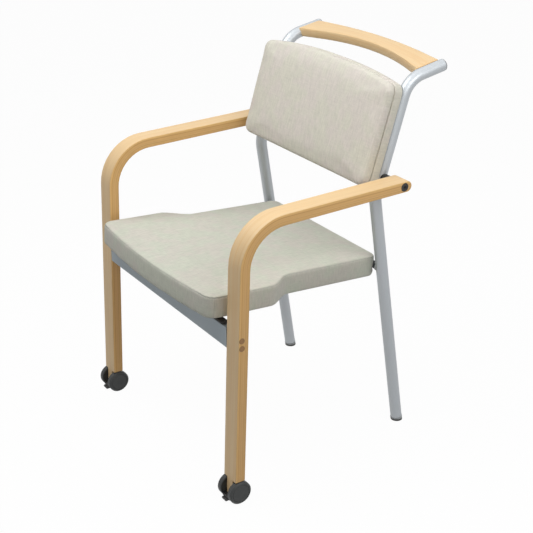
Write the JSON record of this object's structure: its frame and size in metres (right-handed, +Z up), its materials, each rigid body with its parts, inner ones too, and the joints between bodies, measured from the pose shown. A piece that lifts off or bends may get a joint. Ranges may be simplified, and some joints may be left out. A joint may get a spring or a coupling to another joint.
{
  "type": "nesting chair",
  "caption": "Nesting armchair: bentwood arms and front legs on rollers, bent steel rear tubes, padded back, padded tip-up seat and a wooden grab rail behind the back.",
  "frame": {"origin": "on the floor under the middle of the chair box", "axes": "+Z up, the sitter faces -Y, +X is the left hand of the sitter"},
  "size_m": [0.58, 0.5948, 0.8166],
  "materials": {
    "wood": "clear satin lacquer on pale laminated bentwood",
    "wood_dark": "dark stained plugs",
    "fabric": "warm grey woven upholstery",
    "silver": "silver metallic coat",
    "slate": "matte blue grey coat",
    "black_steel": "black coat",
    "black_plastic": "moulded, fine grain",
    "rubber": "matte",
    "wheel": "moulded",
    "cap": "moulded",
    "plywood": "raw",
    "steel": "zinc plated"
  },
  "bodies": {
    "frame": {"left_arm_leg": "wood", "right_arm_leg": "wood", "left_rail_bolt_lower": "steel", "right_rail_bolt_lower": "steel", "left_rail_bolt_upper": "steel", "right_rail_bolt_upper": "steel", "left_wood_plug_lower": "wood_dark", "right_wood_plug_lower": "wood_dark", "left_wood_plug_upper": "wood_dark", "right_wood_plug_upper": "wood_dark", "left_seat_buffer": "rubber", "right_seat_buffer": "rubber", "left_rear_tube": "silver", "right_rear_tube": "silver", "left_tube_cap": "cap", "right_tube_cap": "cap", "left_foot_glide": "rubber", "right_foot_glide": "rubber", "left_grab_stud_front": "steel", "right_grab_stud_front": "steel", "left_grab_stud_rear": "steel", "right_grab_stud_rear": "steel", "left_arm_bush": "black_plastic", "right_arm_bush": "black_plastic", "left_arm_bolt": "black_steel", "right_arm_bolt": "black_steel", "left_arm_spacer": "black_plastic", "right_arm_spacer": "black_plastic", "left_hinge_pin": "black_steel", "right_hinge_pin": "black_steel", "left_hinge_bush": "silver", "right_hinge_bush": "silver", "left_back_bracket": "slate", "right_back_bracket": "slate", "left_back_screw_lower": "steel", "right_back_screw_lower": "steel", "left_back_screw_upper": "steel", "right_back_screw_upper": "steel", "left_wheel_axle": "steel", "right_wheel_axle": "steel", "left_wheel_shoe": "black_plastic", "right_wheel_shoe": "black_plastic", "front_rail": "slate", "grab_rail": "wood", "back_rear_panel": "fabric", "back_board": "plywood", "back_front_pad": "fabric"},
    "seat": {"seat_cushion": "fabric", "seat_board": "plywood", "left_seat_bracket": "black_steel", "right_seat_bracket": "black_steel", "left_bracket_screw_rear": "steel", "right_bracket_screw_rear": "steel", "left_bracket_screw_front": "steel", "right_bracket_screw_front": "steel"},
    "left_outer_roller": {"left_outer_wheel": "wheel"},
    "left_inner_roller": {"left_inner_wheel": "wheel"},
    "right_outer_roller": {"right_outer_wheel": "wheel"},
    "right_inner_roller": {"right_inner_wheel": "wheel"}
  },
  "joints": [
    {"name": "seat_flip", "type": "hinge", "parent": "frame", "child": "seat", "pos_m": [0, 0.14969, 0.385], "axis": [-1, 0, 0], "range_deg": [0, 52]},
    {"name": "left_outer_roll", "type": "hinge", "parent": "frame", "child": "left_outer_roller", "pos_m": [0.2645, -0.2537, 0.025], "axis": [1, 0, 0], "continuous": true},
    {"name": "left_inner_roll", "type": "hinge", "parent": "frame", "child": "left_inner_roller", "pos_m": [0.2645, -0.2537, 0.025], "axis": [1, 0, 0], "continuous": true},
    {"name": "right_outer_roll", "type": "hinge", "parent": "frame", "child": "right_outer_roller", "pos_m": [-0.2645, -0.2537, 0.025], "axis": [1, 0, 0], "continuous": true},
    {"name": "right_inner_roll", "type": "hinge", "parent": "frame", "child": "right_inner_roller", "pos_m": [-0.2645, -0.2537, 0.025], "axis": [1, 0, 0], "continuous": true}
  ]
}
